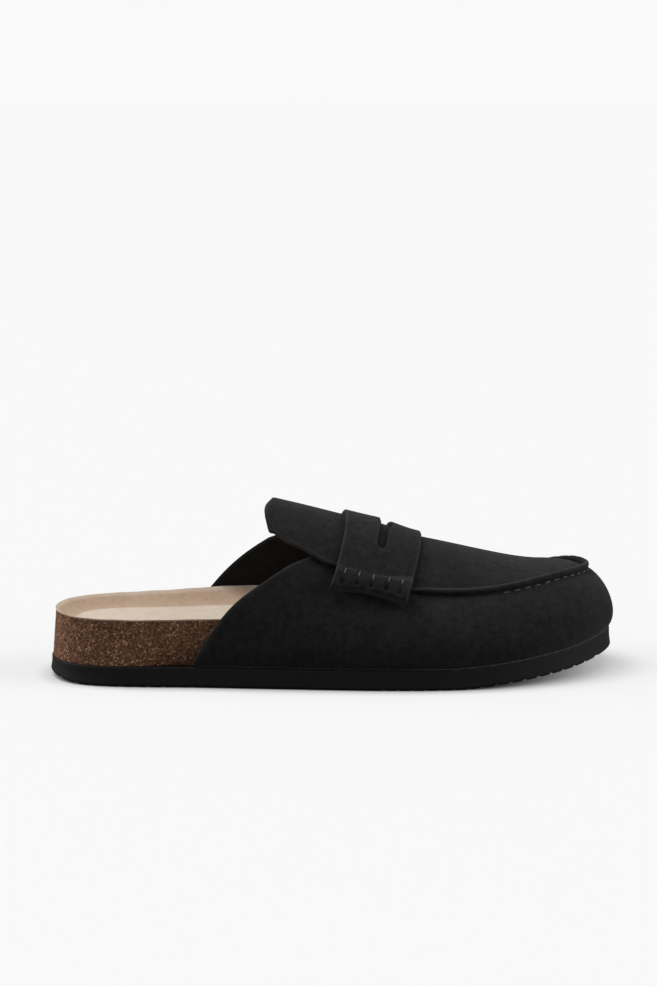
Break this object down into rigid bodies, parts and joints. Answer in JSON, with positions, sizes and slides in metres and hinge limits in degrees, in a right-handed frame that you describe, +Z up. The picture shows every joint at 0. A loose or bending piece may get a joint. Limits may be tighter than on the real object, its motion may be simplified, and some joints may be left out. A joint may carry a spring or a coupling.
{
  "type": "loafer mule",
  "caption": "Backless slip-on shoe for the right foot: suede upper with a raised apron seam, free tongue and slotted strap on a contoured cork footbed and grooved rubber outsole.",
  "frame": {"origin": "on the floor under the middle of the shoe's box", "axes": "+X from the heel to the toe, +Y to the inner side of the foot, +Z up"},
  "size_m": [0.2878, 0.105, 0.0895],
  "materials": {
    "outsole_rubber": "matt black moulded rubber",
    "cork": "pressed cork granules, bare and matt",
    "sock_suede": "pale beige suede with a short nap",
    "black_suede": "black suede with a short nap"
  },
  "bodies": {
    "root": {"outsole": "outsole_rubber", "footbed": "cork", "insole": "sock_suede", "upper": "black_suede", "tongue": "black_suede", "strap": "black_suede"}
  },
  "joints": []
}
